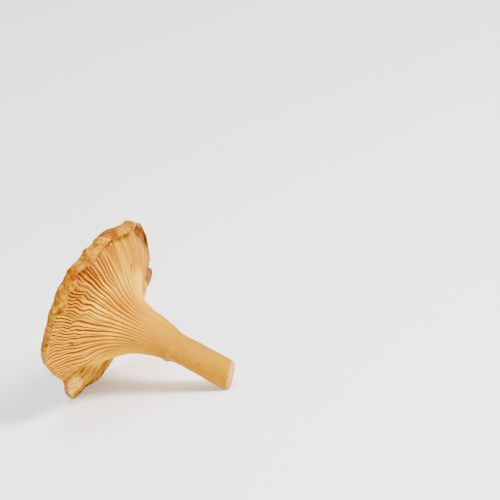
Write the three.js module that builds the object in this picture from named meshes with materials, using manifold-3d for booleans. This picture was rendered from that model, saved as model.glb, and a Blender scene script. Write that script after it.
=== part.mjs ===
// One golden chanterelle mushroom lying on its side, grown as one piece.
// It rests on two places of its cap's rim and on the edge of its cut stem end.
// Units are millimetres, +Z is up, and the surface it lies on is Z = 0.
import * as THREE from 'three';
import Module from 'manifold-3d';

const wasm = await Module();
wasm.setup();

// Size and growth
const CAP_RADIUS = 30; // mean radius that the rim table varies around
const STEM_LENGTH = 49; // rim plane to stem end, where the stem's bend is counted from
const STEM_RADIUS = 4.65;
const STEM_BEND = [-1.6, 6.5]; // sideways shift of the stem end
const RIM_SHARE = [7, 29]; // radii between which the rim's waves fade in
const TOP_WAVE = 0.35; // height of the slow waves on the cap's skin

// Gills
const PRIMARY_GILLS = 48; // ridges that start on the stem; each one forks into a pair
const LEAF_PATTERN = [[2, 1], [1, 2], [2, 1], [1, 1], [2, 2], [1, 2], [2, 1], [1, 2]];
const FIRST_FORK = [10.3, 13.5]; // radii between which the first forks lie
const SECOND_FORK = [17.5, 24];
const FORK_RUN = 2.6; // radius over which a new valley deepens after its fork
const TWIN_GAP = 0.16; // share of their final spacing that twins keep before they fork
const GILL_JITTER = 0.5; // unevenness of the spacing along the rim
const GILL_WANDER = 0.4; // sideways wave of every gill
const CREST_SHARE = 0.25; // part of the gill's height that stands out of the fitted form
const SMOOTH_LOBE = { centre: 15, half: 62, share: 0.42 }; // where the gills are low

// Fold between two lobes: its line as radius and angle, and how the form steps there
const FOLD_LINE = [[12, 188], [13.4, 191], [16, 197], [19.1, 202], [22.2, 205], [24.6, 205], [27.9, 203.5]];
const FOLD_DEPTH = 2.2; // how far the form steps back on the side of the smaller angles
const FOLD_BULGE = 0.7; // how far it stands out on the other side
const FOLD_SKIN_SHARE = 0.7; // how much of the fold the cap's skin follows

// Slow swellings of the stem: height, waves round it, waves along it for each millimetre, start
const STEM_SWELLINGS = [[0.16, 2, 0.14, 1.3], [0.1, 3, -0.31, 0.4], [0.07, 5, 0.52, 2.2]];

// Lying pose: turn about its own axis, lean of that axis from upright, heading of the lean
const SPIN = -144.601;
const LEAN = 66.489;
const HEADING = 142.241;
const REST_DIP = 0.3; // how deep the low points are flattened

const FLOOR_SIZE = 200;
const STEM_COLUMNS = 48;
const MARGIN_COLUMNS = 144;

// Rim, by angle: radius, lift away from the stem, and height of the turned-down margin
const RIM = [
  [0, 30.2, -0.8, 1.8],
  [12, 30.2, -0.2, 1.1],
  [24, 29.9, 0, 1],
  [36, 29.6, 0, 0.8],
  [44, 29.6, 0, 0.7],
  [49.5, 29, 0, 0.7],
  [55, 31.7, 0.1, 0.6],
  [60.5, 31.9, 0.2, 0.6],
  [66, 28.6, 0.7, 0.7],
  [78, 27.4, 1, 1],
  [96, 29.2, 0.3, 1.4],
  [114, 30, 0, 1.3],
  [131, 30.6, -0.2, 1],
  [147, 29.4, 0.3, 1.2],
  [161, 30.8, -0.5, 0.5],
  [174, 28, -0.7, 0.2],
  [186, 25, -1, 0.2],
  [192, 23.8, -1.6, 0.3],
  [198, 24.8, -4.2, 0.8],
  [204, 27, -3.8, 0.6],
  [212, 28.2, -2.8, 0.5],
  [222, 29.9, -1.4, 0.4],
  [231, 30.4, -0.6, 0.7],
  [241, 30.2, -1.6, 2.2],
  [250, 30, -1.5, 2.2],
  [257, 30, -1.4, 2.2],
  [264, 29.8, -4, 4.6],
  [270, 29.8, -3.2, 4.1],
  [273.5, 29.8, -2.3, 3.2],
  [277, 29.8, -3.5, 4.3],
  [282, 29.8, -3.1, 3.9],
  [287, 29.8, -2, 2.9],
  [295, 29.6, -4, 4.1],
  [304, 29.6, -3.7, 3.5],
  [314, 29.5, -3.5, 3.8],
  [320, 29.3, -3.3, 4.2],
  [335, 29.1, -4.3, 4.5],
  [343, 29.4, -4.1, 4.2],
  [351, 30.2, -2.2, 2.8],
];

// Underside, from the stem end out to the rim: radius, drop below the rim plane,
// change of both for each millimetre of turned-down margin, and height of the gills
const UNDERSIDE = [
  [0, 50, 0, 0, 0],
  [3.5, 49.7, 0, 0, 0],
  [4.4, 48.8, 0, 0, 0],
  [STEM_RADIUS, 46.5, 0, 0, 0],
  [STEM_RADIUS, 37, 0, 0, 0],
  [4.8, 29.5, 0, 0, 0],
  [5.8, 24.5, 0, 0, 0.12],
  [7, 19.8, 0, 0, 0.34],
  [8.3, 16.2, 0, 0, 0.55],
  [10.2, 13, 0, 0, 0.8],
  [13.2, 9.9, 0, 0, 1.05],
  [17.4, 6.8, 0, -0.02, 1.2],
  [22.4, 3.8, 0, -0.12, 1.15],
  [26.2, 1.8, 0, -0.42, 1],
  [28.8, 0.7, -0.03, -0.7, 0.8],
  [30, 0.3, 0.05, -0.55, 0.42],
  [30.45, 0.22, 0.03, -0.2, 0.12],
  [30.6, 0.05, 0.02, 0, 0],
];

// Skin of the cap, from the rim in to the centre of its hollow: the same first four values
const SKIN = [
  [30.6, 0.05, 0.02, 0],
  [30.9, -0.4, 0.06, -0.04],
  [30.9, -1, 0.14, -0.45],
  [30.2, -1.5, 0.14, -0.8],
  [28.6, -1.5, 0, -1],
  [25.6, -0.8, 0, -0.85],
  [21.4, 0.6, 0, -0.35],
  [16.8, 2.7, 0, -0.08],
  [12.2, 5.2, 0, 0],
  [8.2, 7.4, 0, 0],
  [4.2, 9.1, 0, 0],
  [0, 9.8, 0, 0],
];

// Rings of vertices, as places along those two tables
const STEM_RINGS = [0.6, 1, 1.5, 2, 2.6, 3.1, 3.6, 4.1, 4.6, 5.1];
const RIDGE_RINGS = [5.6, 6.2, 6.8, 7.4, 8, 8.6];
const PAIR_RINGS = [9.1, 9.6, 10.1, 10.6];
const LEAF_RINGS = [11, 11.5, 12, 12.5, 13, 13.5, 14, 14.6, 15.3, 16];
const MARGIN_RINGS = [0, 1, 2, 3, 4, 5];
const HOLLOW_RINGS = [6, 7, 8, 9, 10];

const turn = Math.PI * 2;
const radians = (degrees) => THREE.MathUtils.degToRad(degrees);

function smooth(from, to, value) {
  const share = THREE.MathUtils.clamp((value - from) / (to - from), 0, 1);
  return share * share * (3 - 2 * share);
}

// Repeatable random numbers from 0 to 1
let seed = 41;
function random() {
  seed = (seed * 1664525 + 1013904223) % 4294967296;
  return seed / 4294967296;
}

// A smooth curve through the rows of a table, at place 0 to rows - 1
function along(table, place) {
  const last = table.length - 1;
  const row = Math.min(Math.floor(place), last - 1);
  const share = place - row;
  const before = table[Math.max(row - 1, 0)];
  const after = table[Math.min(row + 2, last)];
  return table[row].map((start, column) => {
    const end = table[row + 1][column];
    const linear = end - before[column];
    const square = 2 * before[column] - 5 * start + 4 * end - after[column];
    const cube = 3 * start - before[column] - 3 * end + after[column];
    return start + 0.5 * share * (linear + share * (square + share * cube));
  });
}

// The rim at an angle in degrees, by a smooth curve that closes on itself
function rimAt(angle) {
  const count = RIM.length;
  const wrapped = ((angle % 360) + 360) % 360;
  let here = count - 1;
  while (here > 0 && RIM[here][0] > wrapped) {
    here -= 1;
  }
  const next = (here + 1) % count;
  const before = (here + count - 1) % count;
  const after = (here + 2) % count;
  const gap = (from, to) => (RIM[to][0] - RIM[from][0] + 360) % 360;
  const span = gap(here, next);
  const share = ((wrapped - RIM[here][0] + 360) % 360) / span;
  const square = share * share;
  const cube = square * share;
  const value = (column) => {
    const leaving = ((RIM[next][column] - RIM[before][column]) * span) / (gap(before, here) + span);
    const arriving = ((RIM[after][column] - RIM[here][column]) * span) / (span + gap(next, after));
    return (
      (2 * cube - 3 * square + 1) * RIM[here][column] +
      (cube - 2 * square + share) * leaving +
      (3 * square - 2 * cube) * RIM[next][column] +
      (cube - square) * arriving
    );
  };
  return { radius: value(1), lift: value(2), margin: value(3) };
}

// Height of the fold between two lobes at a radius and an angle in degrees
function foldHeight(radius, degrees) {
  let row = 0;
  while (row < FOLD_LINE.length - 2 && FOLD_LINE[row + 1][0] < radius) {
    row += 1;
  }
  const [[start, from], [end, to]] = FOLD_LINE.slice(row, row + 2);
  const line = THREE.MathUtils.lerp(from, to, THREE.MathUtils.clamp((radius - start) / (end - start), 0, 1));
  const away = THREE.MathUtils.euclideanModulo(degrees - line + 180, 360) - 180;
  const distance = radians(away) * radius;
  const near = smooth(-1.2, 1, distance);
  const behind = (1 - near) * (1 - smooth(5, 17, -distance));
  const share = smooth(11, 19, radius) * (1 - 0.9 * smooth(24.5, 29.5, radius));
  return share * (FOLD_DEPTH * behind - FOLD_BULGE * near * Math.exp(-((distance / 5) ** 2)));
}

// Unevenness of the stem's radius
function swelling(depth, angle) {
  let height = 0;
  STEM_SWELLINGS.forEach(([most, round, lengthwise, start]) => {
    height += most * Math.sin(round * angle + lengthwise * depth + start);
  });
  return height * smooth(14, 26, depth);
}

// A point of the form without gills, in the growing frame: Z up, rim plane at Z = 0.
// Its fold can be left out.
function formPoint(table, place, angle, foldShare = 1) {
  const [radius, drop, radiusPerMargin, dropPerMargin] = along(table, place);
  const degrees = THREE.MathUtils.radToDeg(angle);
  const rim = rimAt(degrees);
  const share = smooth(RIM_SHARE[0], RIM_SHARE[1], radius);
  const depth = drop + dropPerMargin * rim.margin;
  const uneven = 1 + swelling(depth, angle) / STEM_RADIUS;
  const widened = (radius + radiusPerMargin * rim.margin) * uneven;
  const reach = widened * (1 + (rim.radius / CAP_RADIUS - 1) * share);
  const bend = THREE.MathUtils.clamp(depth / STEM_LENGTH, 0, 1.1);
  const fold = foldShare * foldHeight(radius, degrees) * (table === SKIN ? FOLD_SKIN_SHARE : 1);
  return new THREE.Vector3(
    reach * Math.cos(angle) + STEM_BEND[0] * bend ** 2.4,
    reach * Math.sin(angle) + STEM_BEND[1] * bend ** 1.5,
    rim.lift * share - depth + fold,
  );
}

// Every gill that meets the rim, with the angles of its pair and of the ridge both grew from
function growGills() {
  const gills = [];
  for (let ridge = 0; ridge < PRIMARY_GILLS; ridge += 1) {
    const pattern = LEAF_PATTERN[ridge % LEAF_PATTERN.length];
    const firstFork = THREE.MathUtils.lerp(...FIRST_FORK, random());
    pattern.forEach((leaves, side) => {
      const secondFork = THREE.MathUtils.lerp(...SECOND_FORK, random());
      for (let leaf = 0; leaf < leaves; leaf += 1) {
        gills.push({
          ridge,
          pair: ridge * 2 + side,
          leaf: gills.length,
          firstFork,
          secondFork,
          jitter: random() - 0.5,
        });
      }
    });
  }
  gills.forEach((gill, index) => {
    gill.angle = (turn * (index + GILL_JITTER * gill.jitter)) / gills.length;
  });
  const middle = (members) => members.reduce((sum, gill) => sum + gill.angle, 0) / members.length;
  gills.forEach((gill) => {
    gill.pairAngle = middle(gills.filter((other) => other.pair === gill.pair));
    gill.ridgeAngle = middle(gills.filter((other) => other.ridge === gill.ridge));
  });
  return gills;
}

const gills = growGills();

// Share of their final spacing that two gills from one fork have at a radius
function spread(fork, radius) {
  const run = THREE.MathUtils.clamp((radius - fork) / (CAP_RADIUS - fork), 0, 1);
  return TWIN_GAP + (1 - TWIN_GAP) * (1 - (1 - run) ** 2);
}

// Angle of a crest: of the gill itself, of the pair it grew from, or of that pair's ridge
function crestAngle(gill, level, radius) {
  const slow = Math.sin(radius / 2.9 + 3 * gill.ridgeAngle);
  const quick = Math.sin(radius / 1.7 - 5 * gill.ridgeAngle);
  let crest = gill.ridgeAngle + (GILL_WANDER * (slow + 0.6 * quick) * smooth(12, 22, radius)) / radius;
  if (level !== 'ridge') {
    crest += (gill.pairAngle - gill.ridgeAngle) * spread(gill.firstFork, radius);
  }
  if (level === 'leaf') {
    crest += (gill.angle - gill.pairAngle) * spread(gill.secondFork, radius);
  }
  return crest;
}

// How deep the valley between a gill and the next one is, as a share of the gills' height
function valleyShare(gill, next, radius) {
  if (gill.ridge !== next.ridge) {
    return 1;
  }
  const fork = gill.pair === next.pair ? gill.secondFork : gill.firstFork;
  return smooth(fork, fork + FORK_RUN, radius);
}

// Gills are low on the lobe that grew smooth
function gillShare(angle) {
  const from = angle - radians(SMOOTH_LOBE.centre);
  const away = Math.abs(Math.atan2(Math.sin(from), Math.cos(from)));
  const inside = 1 - smooth(0.6, 1.2, away / radians(SMOOTH_LOBE.half));
  return 1 - (1 - SMOOTH_LOBE.share) * inside;
}

// A point of the underside moved by a height, straight out of the form as it is without its fold
function raisedPoint(place, angle, height) {
  const step = 0.01;
  const beside = (outwards, round) => formPoint(UNDERSIDE, place + outwards, angle + round, 0);
  const across = beside(0, step).sub(beside(0, -step));
  const outward = beside(step, 0).sub(beside(-step, 0));
  const normal = across.cross(outward).normalize();
  return formPoint(UNDERSIDE, place, angle).addScaledVector(normal, height);
}

// Rings, each an array of vertices round the axis with their angles
function gillRing(level, place) {
  const [radius, , , , height] = along(UNDERSIDE, place);
  const members = gills.filter((gill, index) => index === 0 || gill[level] !== gills[index - 1][level]);
  const ring = [];
  members.forEach((gill, index) => {
    const next = members[(index + 1) % members.length];
    const crest = crestAngle(gill, level, radius);
    const nextCrest = crestAngle(next, level, radius) + (index + 1 === members.length ? turn : 0);
    const valley = (crest + nextCrest) / 2;
    const crestHeight = CREST_SHARE * height * gillShare(crest);
    const valleyHeight = (CREST_SHARE - valleyShare(gill, next, radius)) * height * gillShare(valley);
    ring.push({ angle: crest, point: raisedPoint(place, crest, crestHeight) });
    ring.push({ angle: valley, point: raisedPoint(place, valley, valleyHeight) });
  });
  return ring;
}

function plainRing(table, place, columns) {
  return Array.from({ length: columns }, (_, column) => {
    const angle = (turn * column) / columns;
    return { angle, point: formPoint(table, place, angle) };
  });
}

function skinRing(place, columns) {
  const ring = plainRing(SKIN, place, columns);
  ring.forEach(({ angle, point }) => {
    const radius = Math.hypot(point.x, point.y);
    const share = smooth(4, 13, radius) * (1 - smooth(26, 30, radius));
    const wave = Math.sin(3 * angle + 1.1) + 0.7 * Math.sin(7 * angle - 0.4 + radius / 9);
    point.z += TOP_WAVE * share * wave;
  });
  return ring;
}

const rings = [
  ...STEM_RINGS.map((place) => plainRing(UNDERSIDE, place, STEM_COLUMNS)),
  ...RIDGE_RINGS.map((place) => gillRing('ridge', place)),
  ...PAIR_RINGS.map((place) => gillRing('pair', place)),
  ...LEAF_RINGS.map((place) => gillRing('leaf', place)),
  ...MARGIN_RINGS.map((place) => skinRing(place, MARGIN_COLUMNS)),
  ...HOLLOW_RINGS.map((place) => skinRing(place, STEM_COLUMNS)),
];

// One closed skin: a fan at the stem end, bands between rings, a fan in the cap's hollow
const points = [];
const triangles = [];

function addPoint(point) {
  points.push(point);
  return points.length - 1;
}

// A band between two rings with any number of vertices, closed by the shorter next step
function addBand(low, high) {
  const angleAt = (ring, index) => ring[index % ring.length].angle + turn * Math.floor(index / ring.length);
  const vertexAt = (ring, index) => ring[index % ring.length].vertex;
  let lowIndex = 0;
  let highIndex = 0;
  while (lowIndex < low.length || highIndex < high.length) {
    const lowStep = Math.abs(angleAt(low, lowIndex + 1) - angleAt(high, highIndex));
    const highStep = Math.abs(angleAt(high, highIndex + 1) - angleAt(low, lowIndex));
    const corners = [vertexAt(low, lowIndex), vertexAt(high, highIndex)];
    if (highIndex >= high.length || (lowIndex < low.length && lowStep < highStep)) {
      lowIndex += 1;
      triangles.push([corners[0], vertexAt(low, lowIndex), corners[1]]);
    } else {
      highIndex += 1;
      triangles.push([corners[0], vertexAt(high, highIndex), corners[1]]);
    }
  }
}

rings.forEach((ring) => {
  ring.forEach((entry) => {
    entry.vertex = addPoint(entry.point);
  });
});
const stemPole = addPoint(formPoint(UNDERSIDE, 0, 0));
const hollowPole = addPoint(formPoint(SKIN, SKIN.length - 1, 0));
const firstRing = rings[0];
const lastRing = rings[rings.length - 1];
firstRing.forEach(({ vertex }, column) => {
  triangles.push([stemPole, firstRing[(column + 1) % firstRing.length].vertex, vertex]);
});
for (let index = 0; index + 1 < rings.length; index += 1) {
  addBand(rings[index], rings[index + 1]);
}
lastRing.forEach(({ vertex }, column) => {
  triangles.push([hollowPole, vertex, lastRing[(column + 1) % lastRing.length].vertex]);
});

// Lay it down, lowest place just under the floor and the middle of its outline over the origin
const lying = new THREE.Matrix4()
  .makeRotationZ(radians(HEADING))
  .multiply(new THREE.Matrix4().makeRotationY(radians(LEAN)))
  .multiply(new THREE.Matrix4().makeRotationZ(radians(SPIN)));
points.forEach((point) => point.applyMatrix4(lying));
const box = new THREE.Box3().setFromPoints(points);
const middle = box.getCenter(new THREE.Vector3());
const shift = new THREE.Vector3(-middle.x, -middle.y, -box.min.z - REST_DIP);
points.forEach((point) => point.add(shift));

function solidFrom(positions, faces) {
  return new wasm.Manifold(
    new wasm.Mesh({
      numProp: 3,
      vertProperties: new Float32Array(positions),
      triVerts: new Uint32Array(faces),
    }),
  );
}

// The floor as a closed box, its corners merged
function floorSolid() {
  const floor = new THREE.BoxGeometry(FLOOR_SIZE, FLOOR_SIZE, FLOOR_SIZE);
  floor.translate(0, 0, -FLOOR_SIZE / 2);
  const position = floor.getAttribute('position');
  const corners = new Map();
  const merged = [];
  const faces = [];
  floor.index.array.forEach((vertex) => {
    const corner = [position.getX(vertex), position.getY(vertex), position.getZ(vertex)];
    const key = corner.join(' ');
    if (!corners.has(key)) {
      corners.set(key, corners.size);
      merged.push(...corner);
    }
    faces.push(corners.get(key));
  });
  return solidFrom(merged, faces);
}

const grown = solidFrom(points.flatMap((point) => point.toArray()), triangles.flat());
const cut = grown.subtract(floorSolid()).getMesh();

const geometry = new THREE.BufferGeometry();
geometry.setAttribute('position', new THREE.BufferAttribute(new Float32Array(cut.vertProperties), 3));
geometry.setIndex(new THREE.BufferAttribute(new Uint32Array(cut.triVerts), 1));
geometry.computeVertexNormals();

const flesh = new THREE.MeshStandardMaterial({ color: 0xe0a650, roughness: 0.62, metalness: 0 });
const mushroom = new THREE.Mesh(geometry, flesh);
mushroom.name = 'chanterelle';

const part = new THREE.Group();
part.name = 'chanterelle_mushroom';
part.add(mushroom);

export default part;
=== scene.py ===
"""One golden chanterelle lying on its side on a pale floor.

The mushroom is one grown piece. Its smooth form is worked out from a few tables of sizes, and a
geometry node tree then raises the gills, the lumps of the skin and the fibres of the stem out of that
form. Sizes are in millimetres until the mesh is made in metres. A place is a row of one of the two
tables of the form, counted from 0 and with parts of a row, and angles go round the cap in degrees.
"""

import math

import bpy
import numpy as np
from mathutils import Matrix, Vector


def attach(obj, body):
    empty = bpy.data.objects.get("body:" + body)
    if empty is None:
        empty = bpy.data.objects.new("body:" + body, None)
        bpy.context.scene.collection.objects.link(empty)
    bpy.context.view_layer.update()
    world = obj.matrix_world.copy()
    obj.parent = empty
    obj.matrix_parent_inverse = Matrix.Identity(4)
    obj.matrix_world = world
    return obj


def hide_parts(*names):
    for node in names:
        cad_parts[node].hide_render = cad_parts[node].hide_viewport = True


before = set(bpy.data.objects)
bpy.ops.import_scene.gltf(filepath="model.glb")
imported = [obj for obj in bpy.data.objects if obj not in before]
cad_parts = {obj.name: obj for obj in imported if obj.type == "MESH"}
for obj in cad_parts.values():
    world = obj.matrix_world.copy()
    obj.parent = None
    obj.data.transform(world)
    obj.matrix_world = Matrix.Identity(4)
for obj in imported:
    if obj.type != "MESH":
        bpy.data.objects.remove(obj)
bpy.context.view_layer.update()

MILLIMETRE = 0.001

# Size of the grown form
CAP_RADIUS = 30.0
STEM_LENGTH = 49.0
STEM_RADIUS = 4.65

# Sideways bend at the end of the stem, the powers by which it grows towards there, and the share of
# the stem's length where it stops growing
STEM_BEND = (-1.6, 6.5)
STEM_BEND_POWERS = (2.4, 1.5)
STEM_BEND_STOPS = 1.1

# Radii between which the wavy rim takes over from the round form
RIM_SHARE = (7.0, 29.0)

# Waves of the cap's hollow side: height, waves round it, start, and turn for each millimetre
# outward; and the radii between which they begin and fade
TOP_WAVES = ((0.35, 3, 1.1, 0), (0.245, 7, -0.4, 1 / 9))
TOP_WAVES_BEGIN = (4, 13)
TOP_WAVES_FADE = (26, 30)

# Cut end of the stem: how far it slants, the angle that it slants towards, how much longer that
# leaves the stem, and the drops below the rim between which this comes in
CUT_LEAN = 1.9
CUT_LEAN_TOWARDS = 240
CUT_LONGER = 0.5
CUT_COMES_IN = (40, 49)

# Gills: ridges that start on the stem fork into pairs, and most of these fork once more. Forks are
# radii, drawn between the two values.
PRIMARY_GILLS = 48
LEAF_PATTERN = ((2, 1), (1, 2), (2, 1), (1, 1), (2, 2), (1, 2), (2, 1), (1, 2))
FIRST_FORK = (10.3, 13.5)
SECOND_FORK = (17.5, 24.0)
FORK_RUN = 2.6
TWIN_GAP = 0.16
GILL_JITTER = 0.5
GILL_SEED = 41
CREST_SHARE = 0.25
SMOOTH_LOBE = {"centre": 15.0, "half": 62.0, "share": 0.42}

# Slow wandering of the gills: how far, its waves as share, length and turn, and the radii between
# which it begins
GILL_WANDER = 0.4
GILL_WAVES = ((1.0, 2.9, 3), (0.6, 1.7, -5))
WANDER_BEGINS = (12, 22)

# Fold between two lobes: its line as radius and angle; height of its step and of the bulge beside
# it; distances from the line across which the step goes up and comes down again behind; and the
# radii between which the fold begins and almost fades
FOLD_LINE = ((12, 188), (13.4, 191), (16, 197), (19.1, 202), (22.2, 205), (24.6, 205), (27.9, 203.5))
FOLD_DEPTH = 2.2
FOLD_BULGE = 0.7
FOLD_BULGE_WIDTH = 5
FOLD_STEP = (-1.2, 1)
FOLD_COMES_DOWN = (5, 17)
FOLD_BEGINS = (11, 19)
FOLD_FADES = (24.5, 29.5)
FOLD_FADE_SHARE = 0.9
FOLD_SKIN_SHARE = 0.7

# Slow swellings of the stem: height, waves round it, waves along it for each millimetre, start;
# and the drops below the rim between which they begin
STEM_SWELLINGS = ((0.16, 2, 0.14, 1.3), (0.1, 3, -0.31, 0.4), (0.07, 5, 0.52, 2.2))
SWELLINGS_BEGIN = (14, 26)

# Lying pose in degrees, and where the middle of the cap's rim then is
SPIN = -144.601
LEAN = 66.489
HEADING = 142.241
CAP_CENTRE = (-9.5422, -0.3531, 27.9431)

# Rim, by angle: radius, lift away from the stem, and height of the turned-down margin
RIM = (
    (0, 30.2, -0.8, 1.8),
    (12, 30.2, -0.2, 1.1),
    (24, 29.9, 0, 1),
    (36, 29.6, 0, 0.8),
    (44, 29.6, 0, 0.7),
    (49.5, 29, 0, 0.7),
    (55, 31.7, 0.1, 0.6),
    (60.5, 31.9, 0.2, 0.6),
    (64.5, 30.9, 0.2, 0.6),
    (69, 28.4, 0.7, 0.7),
    (78, 27.4, 1, 1),
    (96, 29.2, 0.3, 1.4),
    (114, 30, 0, 1.3),
    (131, 30.6, -0.2, 1),
    (147, 29.4, 0.3, 1.2),
    (161, 30.8, -0.5, 0.5),
    (174, 28, -0.7, 0.2),
    (186, 25, -1, 0.2),
    (192, 23.8, -1.6, 0.3),
    (198, 24.8, -4.2, 0.8),
    (204, 27, -3.8, 0.6),
    (212, 28.2, -2.8, 0.5),
    (222, 29.9, -1.4, 0.4),
    (231, 30.4, -0.6, 0.7),
    (241, 30.2, -1.6, 2.2),
    (250, 30, -1.5, 2.2),
    (257, 30, -1.4, 2.2),
    (264, 29.8, -4, 4.6),
    (270, 29.8, -3.2, 4.1),
    (273.5, 29.8, -2.3, 3.2),
    (277, 29.8, -3.5, 4.3),
    (282, 29.8, -3.1, 3.9),
    (287, 29.8, -2, 2.9),
    (295, 29.6, -4, 4.1),
    (304, 29.6, -3.7, 3.5),
    (314, 29.5, -3.5, 3.8),
    (320, 29.3, -3.3, 4.2),
    (335, 29.1, -4.3, 4.5),
    (343, 29.4, -4.1, 4.2),
    (351, 30.2, -2.2, 2.8),
)

# Underside, from the stem end out to the rim: radius, drop below the rim plane,
# change of both for each millimetre of turned-down margin, and height of the gills
UNDERSIDE = (
    (0, 50, 0, 0, 0),
    (3.5, 49.7, 0, 0, 0),
    (4.4, 48.8, 0, 0, 0),
    (STEM_RADIUS, 46.5, 0, 0, 0),
    (STEM_RADIUS, 37, 0, 0, 0),
    (4.8, 29.5, 0, 0, 0),
    (5.8, 24.5, 0, 0, 0.12),
    (7, 19.8, 0, 0, 0.34),
    (8.3, 16.2, 0, 0, 0.55),
    (10.2, 13, 0, 0, 0.8),
    (13.2, 9.9, 0, 0, 1.05),
    (17.4, 6.8, 0, -0.02, 1.2),
    (22.4, 3.8, 0, -0.12, 1.15),
    (26.2, 1.8, 0, -0.42, 1),
    (28.8, 0.7, -0.03, -0.7, 0.8),
    (30, 0.3, 0.05, -0.55, 0.42),
    (30.45, 0.22, 0.03, -0.2, 0.12),
    (30.6, 0.05, 0.02, 0, 0),
)

# Skin of the cap, from the rim in to the centre of its hollow: the same first four values
SKIN = (
    (30.6, 0.05, 0.02, 0, 0),
    (30.9, -0.4, 0.06, -0.04, 0),
    (30.9, -1, 0.14, -0.45, 0),
    (30.2, -1.5, 0.14, -0.8, 0),
    (28.6, -1.5, 0, -1, 0),
    (25.6, -0.8, 0, -0.85, 0),
    (21.4, 0.6, 0, -0.35, 0),
    (16.8, 2.7, 0, -0.08, 0),
    (12.2, 5.2, 0, 0, 0),
    (8.2, 7.4, 0, 0, 0),
    (4.2, 9.1, 0, 0, 0),
    (0, 9.8, 0, 0, 0),
)

# Where the columns of the mesh stand between one gill's crest and the next, and how many columns
# there are where there are no gills, in general and by the rim
RIDGE_CELL = (0.0, 0.1, 0.22, 0.36, 0.5, 0.62, 0.74, 0.88)
GILL_CELL = (0.0, 0.18, 0.36, 0.5, 0.62, 0.74, 0.87)
PLAIN_COLUMNS = 216
RIM_COLUMNS = 2 * PLAIN_COLUMNS

# A valley is deepest past its middle, because the gills lean a little. On one side of the cap the
# valleys are wider, and there the gills fork later by some millimetres.
VALLEY_LEAN = 1.45
VALLEY_NARROWNESS = 1.6
WIDE_VALLEYS = {"centre": 297, "half": 26, "narrowness": 0.75, "later_fork": 3.2}

# Zigzag of the gills towards the margin: waves round the cap, waves outward for each millimetre,
# start, width; the direction and half angle where it is strongest, its share elsewhere, and the
# radii between which it begins
ZIGZAGS = ((5, 1.35, 0.9, 0.5), (11, 0.9, 2.0, 0.3), (23, 2.6, 4.1, 0.12))
ZIGZAG_PLACE = (257, 24)
ZIGZAG_ELSEWHERE = 0.15
ZIGZAG_BEGINS = (17, 25)

# Sizes of the relief. A swell makes a gill higher and lower along its length, lumps and dents are
# of the skin, crumples are of the torn edges, and fibres are of the stem.
RELIEF_SIZES = {
    "Crest Share": CREST_SHARE,
    "Swell Length": 7.5 * MILLIMETRE,
    "Lump Height": 0.9 * MILLIMETRE,
    "Lump Size": 4.2 * MILLIMETRE,
    "Dent Height": 0.6 * MILLIMETRE,
    "Dent Size": 1.5 * MILLIMETRE,
    "Crumple Height": 1.3 * MILLIMETRE,
    "Fibre Height": 0.3 * MILLIMETRE,
    "Fibre Length": 5.0 * MILLIMETRE,
    "Seed": 3.0,
}

# Growth coordinates, for what is drawn out from the end of the stem to the rim: the radius of a turn
# round the mushroom, and the length along it, in millimetres, that is one unit
GROWTH_ROUND = 10
GROWTH_RUN = 12.0

# Sizes of the painted patterns, in millimetres. Fibres and streaks are much narrower than long.
FIBRE_LENGTH = 3.75
STREAK_LENGTH = 8.0
CLOUD_SIZE = 7.14
BROWN_GRAIN = 2.0
MOTTLE_SIZE = 3.33
SPECK_SIZE = 1.11
SKIN_PATCH_SIZE = 3.4
SEAM_WOBBLE_SIZE = 2.0
SEAM_WOBBLE = 2.2

# How much lighter or darker a patch of the skin may be, and the contrast of skin that isn't worn
SKIN_PATCH_CONTRAST = 0.055
UNWORN_CONTRAST = 0.3

# Strength of the streaks off the stem. On the stem they have 1 less, so they are faint there.
STREAK_STRENGTH = 1.15

# Value that a noise has on average
NOISE_MIDDLE = 0.5

# Edge of a stain: the size of its grain in millimetres, and as shares of its width how ragged it is
# and where it starts to fade and ends
MARK_GRAIN = 0.91
MARK_RAGGED = 1.8
MARK_FADES = (1.3, 1.7)

# Areas of the underside that look different. Each part of one has a middle angle, a half angle, the
# radii between which it begins, and a strength.
AREAS = {
    "smooth_lobe": ((SMOOTH_LOBE["centre"], 45, 14, 20, 1.0),),
    # The bottom lobe faces down: its darker crests and valleys are partly its own browner colour and partly
    # painted shade
    "back_lobe": ((158, 42, 14, 20, 1.0),),
    "low_side": ((224, 34, 10, 16, 1.0),),
    # The deep side under the turned-down margin: its darker valleys there are painted shade
    "deep_side": ((277, 38, 15, 24, 1.0),),
    "brown_edge": (
        (16, 13, 26.6, 28.1, 1.0),
        (58, 10, 23.0, 24.5, 0.9),
        (190, 5, 20.5, 22.0, 0.5),
        (216, 7, 29.0, 30.5, 0.6),
    ),
    # A pale crumpled edge whose brightness is partly painted light, and beside it painted light on the
    # shaded far edge of the bottom lobe
    "patch": ((173, 7, 23, 25.5, 1.0), (134, 8, 25, 28, 0.55)),
    "crumple": ((226, 22, 14, 20, 0.55), (172, 15, 19, 24, 1.0)),
}

# How far the valleys' colour, their own orange-brown with painted shade, spreads up their sides in these
# areas
VALLEY_COLOUR_AND_SHADE_SPREAD = {"deep_side": 0.5, "back_lobe": 0.5, "low_side": 0.35}

# Places between which looks begin or end. The edge of the cut is paler.
STEM_ENDS = (4.6, 7.2)
VALLEYS_BEGIN = (5.2, 9)
CUT_EDGE_BEGINS = (0.6, 1.3)
CUT_EDGE_ENDS = (2.0, 2.5)
CUT_EDGE_STRENGTH = 0.7
CRUMPLE_ENDS = (15, 16.5)
SKIN_RELIEF_BEGINS = (0.0, 1.0)
WORN_SKIN_ENDS = (2.5, 5.5)

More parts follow.
